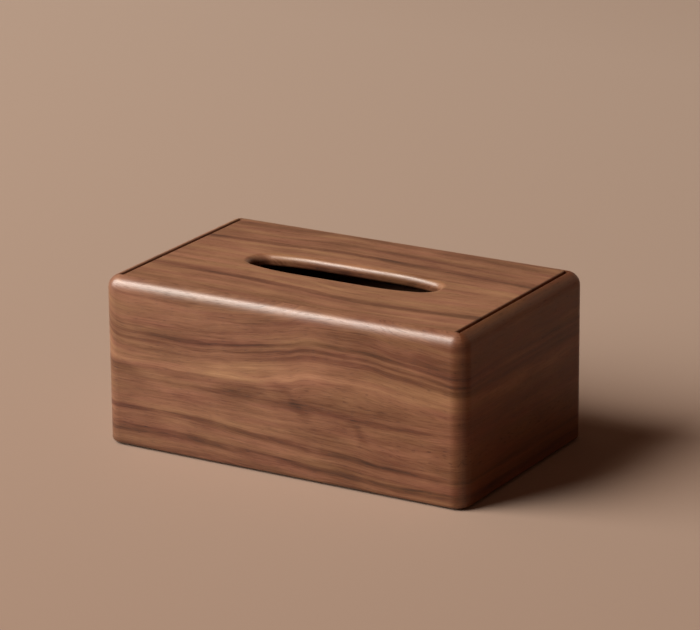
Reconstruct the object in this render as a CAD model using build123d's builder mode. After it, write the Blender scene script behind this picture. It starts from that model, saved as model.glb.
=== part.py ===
from build123d import *
from math import asin, degrees
import os

# A walnut tissue holder: a mitred box with a lift-off lid that drops into its top.
# Millimetres. X runs along the front, Y from front to back and Z up. The origin is on the
# surface that the holder stands on, under the middle of the box.

# The closed box, without its foot pads
box_length = 240.0
box_width = 146.0
body_height = 102.0
corner_radius = 9.0
top_radius = 8.0
top_radius_margin = 0.5
bottom_radius = 2.0

# The four boards of the box, and the rebate along their tops that the lid drops into
wall = 13.0
rim_width = 7.2
edge_ease = 0.8

# The lid, with its tissue slot
lid_thickness = 7.0
lid_end_gap = 2.4
lid_side_gap = 0.2
slot_length = 125.0
slot_width = 26.7
slot_end = 37.8
slot_tip_radius = 9.5
slot_top_ease = 4.0
slot_under_ease = 1.5

# The battens under the lid, which keep it flat and centre it between the end boards
batten_width = 12.0
batten_height = 8.0
batten_end_gap = 0.4
batten_side_gap = 1.0
batten_chamfer = 1.0

# The base, which floats in a groove around the inside of the four boards
base_thickness = 6.0
base_recess = 3.0
groove_depth = 4.0
groove_play = 0.2
base_float = 0.5

# The loose tongue across each mitre, set out from the inner corner along the diagonal
spline_thickness = 3.0
spline_width = 8.0
spline_inset = 4.5
spline_end_margin = 4.0
glue_play = 0.1

# The posts in the corners of the box
post_width = 11.0
post_chamfer = 3.0

# The magnets, one let into each post and one above it in a batten
magnet_diameter = 6.0
magnet_thickness = 3.0
magnet_chamfer = 0.3
magnet_play = 0.05
magnet_gap = 0.5

# The felt pads under the corners
pad_diameter = 8.0
pad_thickness = 1.0
pad_margin = 1.0

# Heights
wood_bottom = pad_thickness
wood_top = wood_bottom + body_height
lid_seat = wood_top - lid_thickness
base_bottom = wood_bottom + base_recess
base_top = base_bottom + base_thickness
batten_bottom = lid_seat - batten_height
post_top = batten_bottom - magnet_gap
spline_bottom = base_top + groove_play + spline_end_margin
spline_top = lid_seat - spline_end_margin

# Sizes across
inner_length = box_length - 2 * wall
inner_width = box_width - 2 * wall
recess_length = box_length - 2 * rim_width
recess_width = box_width - 2 * rim_width
lid_length = recess_length - 2 * lid_end_gap
lid_width = recess_width - 2 * lid_side_gap
slot_side = slot_length / 2 - slot_end
slot_half = slot_width / 2
flank_length = slot_end - slot_tip_radius
flank_square = flank_length**2 + slot_half**2 - slot_tip_radius**2
flank_radius = flank_square / (2 * (slot_half - slot_tip_radius))
flank_bend = degrees(asin(flank_length / (flank_radius - slot_tip_radius)))
magnet_x = (inner_length - post_width) / 2
magnet_y = (inner_width - post_width) / 2
pad_reach = corner_radius - bottom_radius - pad_margin - pad_diameter / 2
pad_inset = corner_radius - pad_reach / 2**0.5

# Each corner's side of the box: -1 is left or front, 1 is right or back
corners = {
    "front_left": (-1, -1),
    "front_right": (1, -1),
    "back_left": (-1, 1),
    "back_right": (1, 1),
}


def write(piece, label):
    """Label a finished piece and write it under that name."""
    piece.part.label = label
    export_step(piece.part, f"parts/{label}.step")


def mitre(side_x, side_y, towards):
    """One corner's mitre, facing its end board (towards 1) or its long board (towards -1)."""
    return Plane(
        origin=(side_x * box_length / 2, side_y * box_width / 2, 0),
        x_dir=(side_x, side_y, 0),
        z_dir=(towards * side_x, -towards * side_y, 0),
    )


def spline_plane(side_x, side_y):
    """The foot of one corner's spline, with its X across the mitre."""
    step_out = spline_inset / 2**0.5
    return Plane(
        origin=(
            side_x * (inner_length / 2 + step_out),
            side_y * (inner_width / 2 + step_out),
            spline_bottom,
        ),
        x_dir=(side_x, -side_y, 0),
    )


os.makedirs("parts", exist_ok=True)

# The outer form of the closed box, rounded with the lid in its place. The rounding along the
# top stays smaller than the rounding of the corners that it runs into.
with BuildPart() as block:
    with BuildSketch(Plane.XY.offset(wood_bottom)):
        RectangleRounded(box_length, box_width, corner_radius)
    extrude(amount=body_height)
    top_edges = block.edges().group_by(Axis.Z)[-1]
    fillet(top_edges, min(top_radius, corner_radius - top_radius_margin))
    bottom_edges = block.edges().group_by(Axis.Z)[0]
    fillet(bottom_edges, bottom_radius)

# The ring that the four boards make together
with BuildPart() as casing:
    add(block.part)
    with BuildSketch(Plane.XY.offset(wood_bottom)):
        Rectangle(inner_length, inner_width)
    extrude(amount=body_height, mode=Mode.SUBTRACT)
    # The rebate for the lid, with the rim's edge eased at both ends
    with BuildSketch(Plane.XY.offset(lid_seat)):
        Rectangle(recess_length, recess_width)
    extrude(amount=lid_thickness, mode=Mode.SUBTRACT)
    for side_x in (-1, 1):
        rim_point = (side_x * recess_length / 2, 0, wood_top)
        rim_edge = casing.edges().filter_by(Axis.Y).sort_by_distance(rim_point)[0]
        fillet(rim_edge, edge_ease)
    # The groove for the base
    with BuildSketch(Plane.XY.offset(base_bottom)):
        Rectangle(inner_length + 2 * groove_depth, inner_width + 2 * groove_depth)
    extrude(amount=base_thickness + groove_play, mode=Mode.SUBTRACT)
    # The stopped slots for the splines
    for side_x, side_y in corners.values():
        with BuildSketch(spline_plane(side_x, side_y)):
            Rectangle(spline_width + 2 * glue_play, spline_thickness + 2 * glue_play)
        extrude(amount=spline_top - spline_bottom, mode=Mode.SUBTRACT)

# The front and back boards: half of the ring each, mitred at both ends
for label, side_y in (("front_panel", -1), ("back_panel", 1)):
    with BuildPart() as long_board:
        add(casing.part)
        split(bisect_by=Plane(origin=(0, 0, 0), z_dir=(0, side_y, 0)), keep=Keep.TOP)
        for side_x in (-1, 1):
            split(bisect_by=mitre(side_x, side_y, -1), keep=Keep.TOP)
    write(long_board, label)

# The two end boards, made the same way and mitred to meet them
for label, side_x in (("left_end_panel", -1), ("right_end_panel", 1)):
    with BuildPart() as end_board:
        add(casing.part)
        split(bisect_by=Plane(origin=(0, 0, 0), z_dir=(side_x, 0, 0)), keep=Keep.TOP)
        for side_y in (-1, 1):
            split(bisect_by=mitre(side_x, side_y, 1), keep=Keep.TOP)
    write(end_board, label)

# The splines inside the mitres
for corner, (side_x, side_y) in corners.items():
    with BuildPart() as corner_spline:
        with BuildSketch(spline_plane(side_x, side_y)):
            Rectangle(spline_width, spline_thickness)
        extrude(amount=spline_top - spline_bottom)
    write(corner_spline, f"corner_spline_{corner}")

# The base, a little smaller than its groove so that it can swell
with BuildPart() as base_panel:
    with BuildSketch(Plane.XY.offset(base_bottom)):
        base_reach = 2 * (groove_depth - base_float)
        Rectangle(inner_length + base_reach, inner_width + base_reach)
    extrude(amount=base_thickness)
write(base_panel, "base_panel")

# The posts, each with its inner corner taken off and a bore for its magnet
for corner, (side_x, side_y) in corners.items():
    with BuildPart() as corner_post:
        with BuildSketch(Plane((side_x * magnet_x, side_y * magnet_y, base_top))):
            Rectangle(post_width, post_width)
        extrude(amount=post_top - base_top)
        upright = corner_post.edges().filter_by(Axis.Z)
        inner_edge = upright.sort_by_distance((0, 0, (base_top + post_top) / 2))[0]
        chamfer(inner_edge, post_chamfer)
        with Locations((side_x * magnet_x, side_y * magnet_y, post_top)):
            Hole(magnet_diameter / 2 + magnet_play, magnet_thickness)
    write(corner_post, f"corner_post_{corner}")

# The lid, cut to drop into the rebate, with its slot through the middle
with BuildPart() as lid_panel:
    add(block.part)
    with BuildSketch(Plane.XY.offset(lid_seat)):
        Rectangle(lid_length, lid_width)
    extrude(amount=lid_thickness, mode=Mode.INTERSECT)
    for side_x in (-1, 1):
        end_point = (side_x * lid_length / 2, 0, wood_top)
        end_edge = lid_panel.edges().filter_by(Axis.Y).sort_by_distance(end_point)[0]
        fillet(end_edge, edge_ease)
    # A quarter of the slot's outline is half a straight side, a long flank and half a tip
    with BuildSketch(Plane.XY.offset(lid_seat)):
        with BuildLine():
            Line((0, slot_half), (slot_side, slot_half))
            CenterArc((slot_side, slot_half - flank_radius), flank_radius, 90 - flank_bend, flank_bend)
            CenterArc((slot_side + flank_length, 0), slot_tip_radius, 0, 90 - flank_bend)
            mirror(about=Plane.XZ)
            mirror(about=Plane.YZ)
        make_face()
    extrude(amount=lid_thickness, mode=Mode.SUBTRACT)
    upper_face = lid_panel.faces().filter_by(Axis.Z).sort_by(Axis.Z)[-1]
    fillet(upper_face.inner_wires()[0].edges(), slot_top_ease)
    under_face = lid_panel.faces().filter_by(Axis.Z).sort_by(Axis.Z)[0]
    fillet(under_face.inner_wires()[0].edges(), slot_under_ease)
write(lid_panel, "lid_panel")

# The battens, glued under the lid, each bored from below for two magnets
for side, side_x in (("left", -1), ("right", 1)):
    batten_x = side_x * (inner_length / 2 - batten_end_gap - batten_width / 2)
    with BuildPart() as lid_batten:
        with BuildSketch(Plane((batten_x, 0, batten_bottom))):
            Rectangle(batten_width, inner_width - 2 * batten_side_gap)
        extrude(amount=batten_height)
        chamfer(lid_batten.edges().group_by(Axis.Z)[0], batten_chamfer)
        bore_z = batten_bottom + magnet_thickness
        with Locations(*[(side_x * magnet_x, y, bore_z) for y in (-magnet_y, magnet_y)]):
            Hole(magnet_diameter / 2 + magnet_play, magnet_thickness)
    write(lid_batten, f"lid_batten_{side}")

# The magnets, in two facing sets a small gap apart
magnet_sets = {"post_magnet": post_top - magnet_thickness, "lid_magnet": batten_bottom}
for label, magnet_bottom in magnet_sets.items():
    for corner, (side_x, side_y) in corners.items():
        with BuildPart() as magnet:
            with BuildSketch(Plane((side_x * magnet_x, side_y * magnet_y, magnet_bottom))):
                Circle(magnet_diameter / 2)
            extrude(amount=magnet_thickness)
            chamfer(magnet.edges().filter_by(GeomType.CIRCLE), magnet_chamfer)
        write(magnet, f"{label}_{corner}")

# The foot pads, stuck under the corners where the flat of the underside ends
for corner, (side_x, side_y) in corners.items():
    pad_x = side_x * (box_length / 2 - pad_inset)
    pad_y = side_y * (box_width / 2 - pad_inset)
    with BuildPart() as foot_pad:
        with BuildSketch(Plane((pad_x, pad_y, 0))):
            Circle(pad_diameter / 2)
        extrude(amount=pad_thickness)
    write(foot_pad, f"foot_pad_{corner}")
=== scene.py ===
import math

import bpy
from mathutils import Matrix, Vector


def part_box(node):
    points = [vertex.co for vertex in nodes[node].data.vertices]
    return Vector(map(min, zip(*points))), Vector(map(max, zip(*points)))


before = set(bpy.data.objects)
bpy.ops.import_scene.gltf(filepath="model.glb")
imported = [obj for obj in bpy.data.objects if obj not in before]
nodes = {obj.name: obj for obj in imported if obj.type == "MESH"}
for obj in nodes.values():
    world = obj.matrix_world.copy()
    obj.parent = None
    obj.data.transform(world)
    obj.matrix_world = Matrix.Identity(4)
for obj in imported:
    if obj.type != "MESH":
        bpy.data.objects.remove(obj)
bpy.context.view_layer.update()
scene = bpy.context.scene


# The camera
# It stands to the front right, a little above the box, with a long lens that keeps the edges
# nearly parallel. It is level but for under a degree of roll.
azimuth = math.radians(30.76)
elevation = math.radians(17.85)
roll = math.radians(-0.52)
distance = 2.2072
lens_mm = 194.09
sensor_mm = 36.0
aim_right = 0.0031
aim_up = 0.0243
middle = Vector((0, 0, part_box("lid_panel")[1].z / 2))
toward_camera = Vector((
    math.sin(azimuth) * math.cos(elevation),
    -math.cos(azimuth) * math.cos(elevation),
    math.sin(elevation),
))
level_right = Vector((math.cos(azimuth), math.sin(azimuth), 0))
level_up = toward_camera.cross(level_right)
picture_right = math.cos(roll) * level_right + math.sin(roll) * level_up
picture_up = math.cos(roll) * level_up - math.sin(roll) * level_right
aim = middle + aim_right * picture_right + aim_up * picture_up
turn = Matrix((picture_right, picture_up, toward_camera)).transposed().to_4x4()
camera = bpy.data.objects.new("camera", bpy.data.cameras.new("camera"))
camera.data.lens = lens_mm
camera.data.sensor_width = sensor_mm
camera.data.sensor_fit = "HORIZONTAL"
camera.matrix_world = Matrix.Translation(aim + distance * toward_camera) @ turn
scene.collection.objects.link(camera)
scene.camera = camera
scene.view_settings.view_transform = "Standard"


# The floor
# A wide sheet of matt paper in a pale warm tan, which the box stands on, painted paler to the
# back as painted light. It runs on past everything that the camera sees, from any side.
def linear(hex_colour):
    """Turn an sRGB hex colour into the linear colour that a shader takes."""
    levels = [int(hex_colour[i:i + 2], 16) / 255 for i in (1, 3, 5)]
    levels = [v / 12.92 if v <= 0.04045 else ((v + 0.055) / 1.055) ** 2.4 for v in levels]
    return (*levels, 1.0)


def add(tree, kind, inputs=None, **settings):
    """Add one node with its settings. An input is a value, or the node or socket it links from."""
    node = tree.nodes.new(kind)
    for name, value in settings.items():
        setattr(node, name, value)
    for socket, value in (inputs or {}).items():
        if isinstance(value, bpy.types.Node):
            value = value.outputs[0]
        if isinstance(value, bpy.types.NodeSocket):
            tree.links.new(value, node.inputs[socket])
        else:
            node.inputs[socket].default_value = value
    return node


def empty_tree(owner):
    """The node tree of a material or a world, with nothing in it yet."""
    owner.use_nodes = True
    owner.node_tree.nodes.clear()
    return owner.node_tree


floor_reach = 12.0
near_paper, near_y = "#AC8F7B", -0.35
far_paper, far_y = "#C1A793", 0.9
paper_roughness, paper_gloss = 0.9, 0.1
floor_mesh = bpy.data.meshes.new("floor")
floor_corners = [(-floor_reach, -floor_reach, 0), (floor_reach, -floor_reach, 0),
                 (floor_reach, floor_reach, 0), (-floor_reach, floor_reach, 0)]
floor_mesh.from_pydata(floor_corners, [], [(0, 1, 2, 3)])
floor = bpy.data.objects.new("floor", floor_mesh)
scene.collection.objects.link(floor)
matt_paper = bpy.data.materials.new("matt_tan_paper")
tree = empty_tree(matt_paper)
place = add(tree, "ShaderNodeTexCoord")
spot = add(tree, "ShaderNodeSeparateXYZ", {0: place.outputs["Object"]})
# Painted light: the paper is painted paler towards the back
painted_light_to_back = add(tree, "ShaderNodeMapRange", {0: spot.outputs["Y"], 1: near_y, 2: far_y})
shade = add(tree, "ShaderNodeMix", {
    0: painted_light_to_back, 6: linear(near_paper), 7: linear(far_paper),
}, data_type="RGBA")
shader = add(tree, "ShaderNodeBsdfPrincipled", {
    "Base Color": shade.outputs[2], "Roughness": paper_roughness,
    "Specular IOR Level": paper_gloss,
})
add(tree, "ShaderNodeOutputMaterial", {"Surface": shader})
floor_mesh.materials.append(matt_paper)


# The light
# One very large round softbox to the front left, a third of the way up, which gives the long soft
# shadow to the back right and leaves the right end in shade. A smaller, warmer one above it puts
# the shine on the rounded edges, and the room adds a little warm light and a pale reflection.
def softbox(name, direction, distance, size, energy, colour):
    """A round softbox that faces the box from this direction: metres and watts."""
    lamp = bpy.data.objects.new(name, bpy.data.lights.new(name, "AREA"))
    lamp.data.shape = "DISK"
    lamp.data.size = size
    lamp.data.energy = energy
    lamp.data.color = linear(colour)[:3]
    facing = direction.normalized()
    turn = facing.to_track_quat("Z", "Y").to_matrix().to_4x4()
    lamp.matrix_world = Matrix.Translation(distance * facing) @ turn
    scene.collection.objects.link(lamp)


softbox("key_softbox", direction=Vector((-0.62, -0.55, 0.56)), distance=5.0, size=4.3,
        energy=356.0, colour="#FCFFFF")
softbox("high_softbox", direction=Vector((-0.44, -0.34, 0.83)), distance=5.0, size=2.3,
        energy=60.0, colour="#FFE9DC")
room_light, room_strength = "#FFC3A4", 0.057
backdrop_paper, backdrop_strength = "#B29580", 1.0
studio = bpy.data.worlds.new("studio")
scene.world = studio
tree = empty_tree(studio)
path = add(tree, "ShaderNodeLightPath")
room = add(tree, "ShaderNodeBackground", {
    "Color": linear(room_light), "Strength": room_strength,
})
backdrop = add(tree, "ShaderNodeBackground", {
    "Color": linear(backdrop_paper), "Strength": backdrop_strength,
})
mirrored = add(tree, "ShaderNodeMath", {
    0: path.outputs["Is Glossy Ray"], 1: path.outputs["Is Transmission Ray"],
}, operation="MAXIMUM")
shown = add(tree, "ShaderNodeMath", {
    0: path.outputs["Is Camera Ray"], 1: mirrored,
}, operation="MAXIMUM")
seen = add(tree, "ShaderNodeMixShader", {0: shown, 1: room, 2: backdrop})
add(tree, "ShaderNodeOutputWorld", {"Surface": seen})


# The front board
# Solid black walnut, flat sawn, planed and sanded, then oiled, which deepens its browns, and
# rubbed to a satin sheen. It is the second of four boards cut in turn from one plank, so its
# grain runs on round the corners.
mm = 0.001
half_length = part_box("right_end_panel")[1].x / mm
half_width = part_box("back_panel")[1].y / mm
box_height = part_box("lid_panel")[1].z / mm
corner_radius = 9.0
corner_saving = 2 * corner_radius * (1 - math.sqrt(0.5))
quarter_turn = half_length + half_width - corner_saving
walnut_ior = 1.5
oil_tint = "#FFF8F0"
middle_tone = 0.42
# The tone that the painted shade on the shaded end mixes towards
painted_shade_tone = 0.03
walnut_tones = {
    0.0: "#3A1D12", 0.25: "#6A3E28", 0.5: "#8F5F43", 0.75: "#AB7856", 1.0: "#C4926A",
}


def drawn_line(tree, position, points):
    """The height of a smooth line through given points, at this position along a board."""
    left, right = points[0][0], points[-1][0]
    low, high = min(y for x, y in points), max(y for x, y in points)
    position = add(tree, "ShaderNodeMapRange", {0: position, 1: left, 2: right})
    line = add(tree, "ShaderNodeFloatCurve", {"Value": position})
    curve = line.mapping.curves[0]
    spots = [((x - left) / (right - left), (y - low) / (high - low)) for x, y in points]
    curve.points[0].location, curve.points[1].location = spots[0], spots[-1]
    for spot in spots[1:-1]:
        curve.points.new(*spot)
    for point in curve.points:
        point.handle_type = "AUTO_CLAMPED"
    line.mapping.update()
    return add(tree, "ShaderNodeMapRange", {0: line, 3: low, 4: high})


# Noise lies mostly between the first two of these, and nearly all of it between the others
noise_low, noise_high = 0.3, 0.7
noise_least, noise_most = 0.25, 0.75


def grain_noise(tree, source, length, width, depth, detail, seed):
    """Noise drawn out along the grain: its length, width and depth are in millimetres."""
    sized = add(tree, "ShaderNodeVectorMath", {
        0: source, 1: (1 / length, 1 / width, 1 / depth), 2: (seed, seed, seed),
    }, operation="MULTIPLY_ADD")
    return add(tree, "ShaderNodeTexNoise", {
        "Vector": sized, "Scale": 1.0, "Detail": detail, "Roughness": 0.55,
    })


def oiled_walnut(name, along, across, start, drift, tones, rises=(), smudges=(), painted_shade=(),
                 sheen=0.42, gloss=0.6, painted_cut_shade=0.0):
    """Walnut whose grain runs along one axis of the box, with its figure across the other.

    Sizes are millimetres on the board: u along the grain, v across it and w out of it. Tones
    run from 0, the darkest late wood, to 1, the palest early wood. Along part of its length the
    board can be painted darker, richer in colour and duller: painted shade where the box stands
    in shade. The sheen is its roughness and gloss is the strength of its shine. Below its top face
    the wood can be painted darker too: partly the oil that cut wood soaks up, partly painted
    shade inside the slot.
    """
    material = bpy.data.materials.new(name)
    tree = empty_tree(material)
    along, across = Vector(along), Vector(across)
    turned = Matrix((along, across, along.cross(across))).to_euler()
    place = add(tree, "ShaderNodeTexCoord")
    board = add(tree, "ShaderNodeMapping", {
        "Vector": place.outputs["Object"], "Location": start, "Rotation": turned,
        "Scale": (1 / mm, 1 / mm, 1 / mm),
    })
    u, v, w = add(tree, "ShaderNodeSeparateXYZ", {0: board}).outputs

    # The growth rings rise and fall along the board, and lean back into it by a fifth
    lean = 0.2
    level = add(tree, "ShaderNodeMath", {0: w, 1: lean, 2: v}, operation="MULTIPLY_ADD")
    waves = ((120.0, 45.0, 3.1, drift), (30.0, 9.0, 7.7, 1.1))
    for length, width, seed, sway in waves:
        slow = grain_noise(tree, board, length, width, 4 * width, 2.0, seed)
        slow = add(tree, "ShaderNodeMapRange", {0: slow, 3: -sway, 4: sway})
        level = add(tree, "ShaderNodeMath", {0: level, 1: slow}, operation="ADD")
    for points, from_v, to_v in rises:
        weight = add(tree, "ShaderNodeMapRange", {
            0: v, 1: from_v, 2: to_v,
        }, interpolation_type="SMOOTHSTEP")
        rise = drawn_line(tree, u, points)
        rise = add(tree, "ShaderNodeMath", {0: rise, 1: weight}, operation="MULTIPLY")
        level = add(tree, "ShaderNodeMath", {0: level, 1: rise}, operation="SUBTRACT")
    ringed = add(tree, "ShaderNodeCombineXYZ", {0: u, 1: level, 2: w})

    # Bands of early and late wood, which fade in and out along the board
    faintest, fullest = 0.3, 1.0
    tone = drawn_line(tree, level, tones)
    fade = grain_noise(tree, ringed, 42.0, 5.0, 60.0, 2.0, 1.3)
    fade = add(tree, "ShaderNodeMapRange", {
        0: fade, 1: noise_low, 2: noise_high, 3: faintest, 4: fullest,
    })
    tone = add(tree, "ShaderNodeMix", {0: fade, 2: middle_tone, 3: tone})

    # Clouds, streaks and fibres: length, width, depth, detail, seed and strength. The last are
    # the fibres of the wood, drawn at 0.35 mm so that they show
    streaks = (
        (28.0, 13.0, 40.0, 2.0, 11.3, 0.09),
        (90.0, 6.0, 60.0, 3.0, 5.2, 0.12),
        (38.0, 0.9, 30.0, 2.0, 2.8, 0.07),
        (9.0, 0.35, 1.5, 1.0, 4.6, 0.05),
    )
    for length, width, depth, detail, seed, strength in streaks:
        fibres = grain_noise(tree, ringed, length, width, depth, detail, seed)
        change = add(tree, "ShaderNodeMapRange", {
            0: fibres, 1: noise_least, 2: noise_most, 3: -strength, 4: strength,
        })
        tone = add(tree, "ShaderNodeMath", {0: tone, 1: change}, operation="ADD")

    # Thin dark lines of late wood, where another noise crosses its middle
    late_tone, late_reach = -0.08, 0.035
    ridge = grain_noise(tree, ringed, 70.0, 2.4, 60.0, 2.0, 9.4)
    ridge = add(tree, "ShaderNodeMath", {0: ridge, 1: 0.5}, operation="SUBTRACT")
    ridge = add(tree, "ShaderNodeMath", {0: ridge}, operation="ABSOLUTE")
    ridge = add(tree, "ShaderNodeMapRange", {
        0: ridge, 2: late_reach, 3: late_tone, 4: 0.0,
    }, interpolation_type="SMOOTHSTEP")
    tone = add(tree, "ShaderNodeMath", {0: tone, 1: ridge}, operation="ADD")

    # Soft smudges where a branch once turned the grain, each an ellipse with frayed edges
    fray, smudge_rim, smudge_thickness = 0.55, 1.3, 5.0
    frayed = grain_noise(tree, ringed, 14.0, 1.3, 30.0, 3.0, 8.3)
    frayed = add(tree, "ShaderNodeMapRange", {
        0: frayed, 1: noise_least, 2: noise_most, 3: -fray, 4: fray,
    })
    for middle_u, middle_v, angle, reach_along, reach_across, darkness in smudges:
        spot = add(tree, "ShaderNodeMapping", {
            "Vector": board, "Location": (middle_u, middle_v, 0),
            "Rotation": (0, 0, math.radians(angle)),
            "Scale": (reach_along, reach_across, smudge_thickness),
        }, vector_type="TEXTURE")
        reach = add(tree, "ShaderNodeVectorMath", {0: spot}, operation="LENGTH")
        reach = add(tree, "ShaderNodeMath", {0: reach.outputs["Value"], 1: frayed}, operation="ADD")
        smudge = add(tree, "ShaderNodeMapRange", {
            0: reach, 1: smudge_rim, 2: 0.0, 4: darkness,
        }, interpolation_type="SMOOTHSTEP")
        tone = add(tree, "ShaderNodeMath", {0: tone, 1: smudge}, operation="SUBTRACT")

    # Painted shade: the plank is painted darker, richer and duller where the box is in shade
    saturation, polish_taken = 1.0, 1.0
    if painted_shade:
        full_painted_shade, outer_saturation, painted_shade_saturation, painted_shade_polish = 0.5, 0.97, 1.07, 0.45
        painted_shade_amount = drawn_line(tree, u, painted_shade)
        tone = add(tree, "ShaderNodeMix", {0: painted_shade_amount, 2: tone, 3: painted_shade_tone})
        saturation = add(tree, "ShaderNodeMapRange", {
            0: painted_shade_amount, 2: full_painted_shade, 3: outer_saturation, 4: painted_shade_saturation,
        })
        polish_taken = add(tree, "ShaderNodeMapRange", {
            0: painted_shade_amount, 2: full_painted_shade, 3: 1.0, 4: painted_shade_polish,
        })

    # Darker below the top face: partly oil soaked into cut wood, partly painted shade in the slot
    cut_top, cut_bottom = -1.0, -4.5
    cut_shade = add(tree, "ShaderNodeMapRange", {0: w, 1: cut_top, 2: cut_bottom, 4: painted_cut_shade})
    tone = add(tree, "ShaderNodeMath", {0: tone, 1: cut_shade}, operation="SUBTRACT")

    # Pores are 0.1 to 0.2 mm wide, and drawn at 0.3 mm so that they show
    pore_start, pore_full, pore_tone, pore_roughness = 0.66, 0.74, -0.12, 0.1
    pores = grain_noise(tree, ringed, 5.0, 0.3, 1.2, 0.0, 6.9)
    pores = add(tree, "ShaderNodeMapRange", {0: pores, 1: pore_start, 2: pore_full})
    tone = add(tree, "ShaderNodeMath", {0: pores, 1: pore_tone, 2: tone}, operation="MULTIPLY_ADD")
    colour = add(tree, "ShaderNodeValToRGB", {"Fac": tone})
    ramp = colour.color_ramp.elements
    while len(ramp) < len(walnut_tones):
        ramp.new(0.5)
    for element, (spot, hex_colour) in zip(ramp, walnut_tones.items()):
        element.position = spot
        element.color = linear(hex_colour)

    # Its brown wanders a little, from redder to yellower
    red_hue, yellow_hue = 0.495, 0.509
    warmth = grain_noise(tree, ringed, 55.0, 7.0, 50.0, 2.0, 12.7)
    warmth = add(tree, "ShaderNodeMapRange", {
        0: warmth, 1: noise_low, 2: noise_high, 3: red_hue, 4: yellow_hue,
    })
    colour = add(tree, "ShaderNodeHueSaturation", {
        "Hue": warmth, "Saturation": saturation, "Color": colour,
    })

    # Handling polishes the rounded edges, where the normal leans away from every face
    edge_start, edge_full = 0.97, 0.75
    edge_smoothing, edge_gloss = 0.07, 1.0
    facing = add(tree, "ShaderNodeVectorMath", {0: place.outputs["Normal"]}, operation="ABSOLUTE")
    x, y, z = add(tree, "ShaderNodeSeparateXYZ", {0: facing}).outputs
    flat = add(tree, "ShaderNodeMath", {0: x, 1: y}, operation="MAXIMUM")
    flat = add(tree, "ShaderNodeMath", {0: flat, 1: z}, operation="MAXIMUM")
    edge = add(tree, "ShaderNodeMapRange", {
        0: flat, 1: edge_start, 2: edge_full,
    }, interpolation_type="SMOOTHSTEP")
    polish = add(tree, "ShaderNodeMapRange", {0: edge, 3: sheen, 4: sheen - edge_smoothing})
    shine = add(tree, "ShaderNodeMapRange", {0: edge, 3: gloss, 4: edge_gloss})
    shine = add(tree, "ShaderNodeMath", {0: shine, 1: polish_taken}, operation="MULTIPLY")

    # The finest of the streaks, the fibres, and the pores also roughen and dent the face a little
    fibre_smooth, fibre_rough = -0.03, 0.04
    roughness = add(tree, "ShaderNodeMapRange", {
        0: fibres, 1: noise_low, 2: noise_high, 3: fibre_smooth, 4: fibre_rough,
    })
    roughness = add(tree, "ShaderNodeMath", {0: polish, 1: roughness}, operation="ADD")
    roughness = add(tree, "ShaderNodeMath", {
        0: pores, 1: pore_roughness, 2: roughness,
    }, operation="MULTIPLY_ADD")
    flat_relief, edge_relief, relief_height = 0.3, 0.08, 0.1 * mm
    relief = add(tree, "ShaderNodeMath", {0: pores, 1: -1.0, 2: fibres}, operation="MULTIPLY_ADD")
    filled = add(tree, "ShaderNodeMapRange", {0: edge, 3: flat_relief, 4: edge_relief})
    bump = add(tree, "ShaderNodeBump", {
        "Strength": filled, "Distance": relief_height, "Height": relief,
    })
    shader = add(tree, "ShaderNodeBsdfPrincipled", {
        "Base Color": colour, "Roughness": roughness, "IOR": walnut_ior,
        "Specular IOR Level": shine, "Specular Tint": linear(oil_tint), "Normal": bump,
    })
    add(tree, "ShaderNodeOutputMaterial", {"Surface": shader})
    return material


def finish(node, material):
    """Give a CAD piece its real finish."""
    for slot in nodes[node].material_slots:
        slot.material = material


# The plank's figure: rings rising along the front, tones from the foot of the board up, smudges
# (place along and up, angle, half length, half breadth, darkness) and the painted shade
upper_rise = [
    (-118, 2), (-99, -4), (-67, -4), (-40, -2.5), (-16, 0.5), (6, 4.5), (28, 8), (50, 8),
    (75, 5.5), (118, 0.5),
]
lower_rise = [
    (-118, 4), (-88, 4.2), (-56, 3.4), (-24, 1), (16, -1.4), (40, -2.2), (72, -5.4), (118, -7),
]
bottom_rise = [(-118, -2.5), (-60, -1), (-8, 0.5), (40, 1.5), (118, 4)]
plank_rises = [(upper_rise, 44, 64), (lower_rise, 36, 22), (bottom_rise, 20, 8)]
plank_tones = [
    (0, 0.24), (6, 0.35), (9.5, 0.08), (12, 0.4), (17, 0.46), (20, 0.36), (22, 0.13), (24, 0.36),
    (31, 0.44), (40, 0.42), (47, 0.36), (53, 0.48), (60, 0.7), (65.5, 0.52), (68, 0.24),
    (70, 0.44), (71.5, 0.24), (74, 0.46), (76, 0.15), (78.5, 0.39), (84, 0.38), (90, 0.43),
    (98, 0.46), (110, 0.42),
]
branch_smudges = [
    (0, 54, -28, 13, 4.6, 0.13), (13, 43, -44, 16, 4.4, 0.12), (29, 32, -4, 16, 3, 0.1),
    (47, 40, 0, 10, 4, 0.14), (53, 35, -62, 8, 3.6, 0.12), (86, 42.6, 2, 44, 1.8, 0.18),
    (-30, 47, 2, 18, 4, 0.12), (-108, 50, -2, 18, 4.5, 0.12),
]
# Painted shade: darker over the right of the front, full on the right end, fading into the back
painted_end_shade = [
    (-400, 0), (-60, 0), (60, 0.08), (114, 0.15), (125, 0.5), (250, 0.5), (300, 0), (700, 0),
]
plank = {
    "drift": 1.2, "tones": plank_tones, "rises": plank_rises, "smudges": branch_smudges,
    "painted_shade": painted_end_shade,
}
finish("front_panel", oiled_walnut(
    "oiled_walnut_front", (1, 0, 0), (0, 0, 1), (0, 0, -half_width), **plank))


# The end boards
# The same walnut as the front, cut just before and just after it from the plank and mitred to
# it, so that each ring meets itself at the corner. The right one is painted dark: painted shade.
finish("left_end_panel", oiled_walnut(
    "oiled_walnut_left_end", (0, -1, 0), (0, 0, 1), (-quarter_turn, 0, -half_length), **plank))
finish("right_end_panel", oiled_walnut(
    "oiled_walnut_right_end", (0, 1, 0), (0, 0, 1), (quarter_turn, 0, -half_length), **plank))


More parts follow.
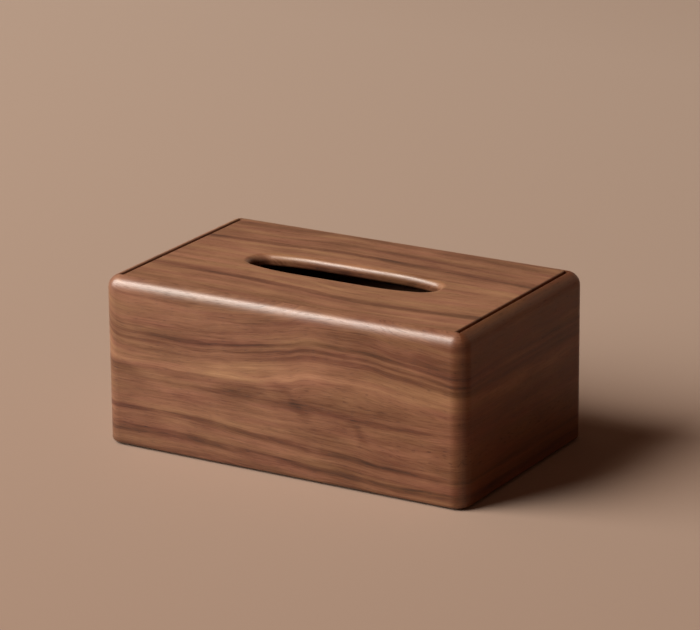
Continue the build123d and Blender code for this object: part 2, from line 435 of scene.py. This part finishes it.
# The back board
# The last of the four. Its grain follows on from the right end, and meets the left end at the
# one corner where the figure of a plank can't close on itself.
finish("back_panel", oiled_walnut(
    "oiled_walnut_back", (-1, 0, 0), (0, 0, 1), (2 * quarter_turn, 0, -half_width), **plank))


# The splines
# Loose tongues of beech, planed to 3 mm and glued across the mitres from end to end, where the
# pale, pinkish wood with its short brown flecks stays out of sight.
def planed_beech(name):
    """Beech as it comes from the plane: pale, even and matt, with the flecks of its rays."""
    pale, paler, fleck = linear("#B98E68"), linear("#D2AC85"), linear("#8F6140")
    beech_ior, smooth, rough = 1.5, 0.6, 0.72
    fleck_start, fleck_full = 0.62, 0.68
    relief, relief_height = 0.3, 0.1 * mm
    material = bpy.data.materials.new(name)
    tree = empty_tree(material)
    place = add(tree, "ShaderNodeTexCoord")
    upright = add(tree, "ShaderNodeMapping", {
        "Vector": place.outputs["Object"], "Rotation": (0, math.radians(90), 0),
        "Scale": (1 / mm, 1 / mm, 1 / mm),
    })
    cloud = grain_noise(tree, upright, 30.0, 3.0, 3.0, 3.0, 1.7)
    flecks = grain_noise(tree, upright, 2.2, 0.5, 0.5, 0.0, 5.1)
    flecks = add(tree, "ShaderNodeMapRange", {0: flecks, 1: fleck_start, 2: fleck_full})
    wood = add(tree, "ShaderNodeMix", {0: cloud, 6: pale, 7: paler}, data_type="RGBA")
    colour = add(tree, "ShaderNodeMix", {
        0: flecks, 6: wood.outputs[2], 7: fleck,
    }, data_type="RGBA")
    roughness = add(tree, "ShaderNodeMapRange", {0: cloud, 3: smooth, 4: rough})
    bump = add(tree, "ShaderNodeBump", {
        "Strength": relief, "Distance": relief_height, "Height": cloud,
    })
    shader = add(tree, "ShaderNodeBsdfPrincipled", {
        "Base Color": colour.outputs[2], "Roughness": roughness, "IOR": beech_ior, "Normal": bump,
    })
    add(tree, "ShaderNodeOutputMaterial", {"Surface": shader})
    return material


beech = planed_beech("planed_beech")
corners = ("front_left", "front_right", "back_left", "back_right")
for corner in corners:
    finish(f"corner_spline_{corner}", beech)


# The base
# One 6 mm walnut board that floats in a groove round the inside. It has one thin coat of oil,
# left as it came from the sander, so it is duller and plainer than the outside.
plain_tones = [(-80, 0.45), (-30, 0.5), (0, 0.42), (40, 0.52), (110, 0.46)]
finish("base_panel", oiled_walnut(
    "sanded_walnut_base", along=(1, 0, 0), across=(0, 1, 0), start=(40, 0, 0), drift=3.0,
    tones=plain_tones, sheen=0.62))


# The corner posts
# Square walnut sticks with one corner taken off, glued upright into the inner corners. Their
# grain runs up, against that of the boards.
for number, corner in enumerate(corners):
    offset = 70 * number
    finish(f"corner_post_{corner}", oiled_walnut(
        f"planed_walnut_post_{corner}", along=(0, 0, 1), across=(1, 0, 0),
        start=(offset, offset, 0), drift=2.0, tones=plain_tones, sheen=0.6))


# The magnets in the posts
# Disc magnets pressed and glued into bores in the post tops, plated with bright nickel. The
# plating is a warm silver, with faint ripples and the fine scuffs that steel-hard discs pick up.
def nickel_plate(name):
    """Bright nickel over a pressed magnet: mirror-like, a little rippled and scuffed."""
    silver, pale_silver = linear("#B9B0A4"), linear("#D6CFC3")
    bright, scuffed = 0.16, 0.34
    scuff_start, scuff_full, scuff_depth = 0.6, 0.72, -0.2
    relief_strength, relief_height = 0.15, 0.08 * mm
    material = bpy.data.materials.new(name)
    tree = empty_tree(material)
    place = add(tree, "ShaderNodeTexCoord")
    size = add(tree, "ShaderNodeMapping", {
        "Vector": place.outputs["Object"], "Scale": (1 / mm, 1 / mm, 1 / mm),
    })
    ripple = add(tree, "ShaderNodeTexNoise", {"Vector": size, "Scale": 0.8, "Detail": 2.0})
    scuffs = grain_noise(tree, size, 2.5, 0.12, 1.0, 1.0, 4.4)
    scuffs = add(tree, "ShaderNodeMapRange", {0: scuffs, 1: scuff_start, 2: scuff_full})
    colour = add(tree, "ShaderNodeMix", {0: ripple, 6: silver, 7: pale_silver}, data_type="RGBA")
    roughness = add(tree, "ShaderNodeMapRange", {0: scuffs, 3: bright, 4: scuffed})
    relief = add(tree, "ShaderNodeMath", {
        0: scuffs, 1: scuff_depth, 2: ripple,
    }, operation="MULTIPLY_ADD")
    bump = add(tree, "ShaderNodeBump", {
        "Strength": relief_strength, "Distance": relief_height, "Height": relief,
    })
    shader = add(tree, "ShaderNodeBsdfPrincipled", {
        "Base Color": colour.outputs[2], "Metallic": 1.0, "Roughness": roughness, "Normal": bump,
    })
    add(tree, "ShaderNodeOutputMaterial", {"Surface": shader})
    return material


bright_nickel = nickel_plate("bright_nickel_plate")
for corner in corners:
    finish(f"post_magnet_{corner}", bright_nickel)


# The lid
# A thinner board of straighter walnut, oiled as the box is, that drops into the rebate and lies
# loose in it. Its slot is routed through and rounded over by hand.
lid_rise = [(-118, -4), (-60, -1), (-20, 3), (20, 1), (60, -1), (118, -4)]
lid_low_rise = [(-118, 4), (-60, 3), (-10, 0), (40, -4), (80, -2), (118, 2)]
lid_tones = [
    (-73, 0.49), (-62, 0.44), (-52, 0.56), (-43, 0.5), (-39, 0.13), (-35, 0.5), (-24, 0.6),
    (-8, 0.52), (5, 0.6), (20, 0.55), (28, 0.4), (31.5, 0.07), (35, 0.43), (44, 0.36),
    (52, 0.46), (60, 0.34), (73, 0.4),
]
# Its cut walls and underside are painted darker, partly as painted shade inside the slot
finish("lid_panel", oiled_walnut(
    "oiled_walnut_lid", along=(1, 0, 0), across=(0, 1, 0), start=(0, 0, -box_height), drift=1.5,
    tones=lid_tones, rises=[(lid_rise, 10, 25), (lid_low_rise, -10, -25)], gloss=0.3,
    painted_cut_shade=0.35))


# The battens
# Two walnut strips glued across the underside of the lid, their lower edges chamfered. Their
# grain runs from front to back, across that of the lid, which keeps it flat.
batten_walnut = oiled_walnut(
    "planed_walnut_batten", along=(0, 1, 0), across=(-1, 0, 0), start=(70, 0, 0), drift=2.0,
    tones=plain_tones, sheen=0.6)
for side in ("left", "right"):
    finish(f"lid_batten_{side}", batten_walnut)


# The magnets in the battens
# The same nickel-plated discs as in the posts, let into the battens from below so that they
# meet them over a hair's gap.
for corner in corners:
    finish(f"lid_magnet_{corner}", bright_nickel)


# The foot pads
# Discs of pressed wool felt in dark brown, stuck under the corners. Felt is a mat of fine
# curled fibres with no weave, so it has a soft, matt, slightly fuzzy face.
def pressed_felt(name):
    """Dark brown wool felt, its 0.03 mm fibres drawn at 0.15 mm so that they show."""
    dark_wool, brown_wool = linear("#1D1410"), linear("#3A2B23")
    felt_roughness, felt_gloss, fuzz, fuzz_roughness = 0.95, 0.2, 0.3, 0.5
    relief_strength, relief_height = 0.8, 0.2 * mm
    material = bpy.data.materials.new(name)
    tree = empty_tree(material)
    place = add(tree, "ShaderNodeTexCoord")
    size = add(tree, "ShaderNodeMapping", {
        "Vector": place.outputs["Object"], "Scale": (1 / mm, 1 / mm, 1 / mm),
    })
    curls = add(tree, "ShaderNodeTexNoise", {
        "Vector": size, "Scale": 1.6, "Detail": 2.0, "Distortion": 2.5,
    })
    fibres = add(tree, "ShaderNodeTexNoise", {
        "Vector": size, "Scale": 6.0, "Detail": 3.0, "Distortion": 1.5,
    })
    mat = add(tree, "ShaderNodeMath", {0: curls, 1: 0.5, 2: fibres}, operation="MULTIPLY_ADD")
    colour = add(tree, "ShaderNodeMix", {0: mat, 6: dark_wool, 7: brown_wool}, data_type="RGBA")
    bump = add(tree, "ShaderNodeBump", {
        "Strength": relief_strength, "Distance": relief_height, "Height": mat,
    })
    shader = add(tree, "ShaderNodeBsdfPrincipled", {
        "Base Color": colour.outputs[2], "Roughness": felt_roughness,
        "Specular IOR Level": felt_gloss, "Sheen Weight": fuzz,
        "Sheen Roughness": fuzz_roughness, "Normal": bump,
    })
    add(tree, "ShaderNodeOutputMaterial", {"Surface": shader})
    return material


felt = pressed_felt("pressed_brown_felt")
for corner in corners:
    finish(f"foot_pad_{corner}", felt)
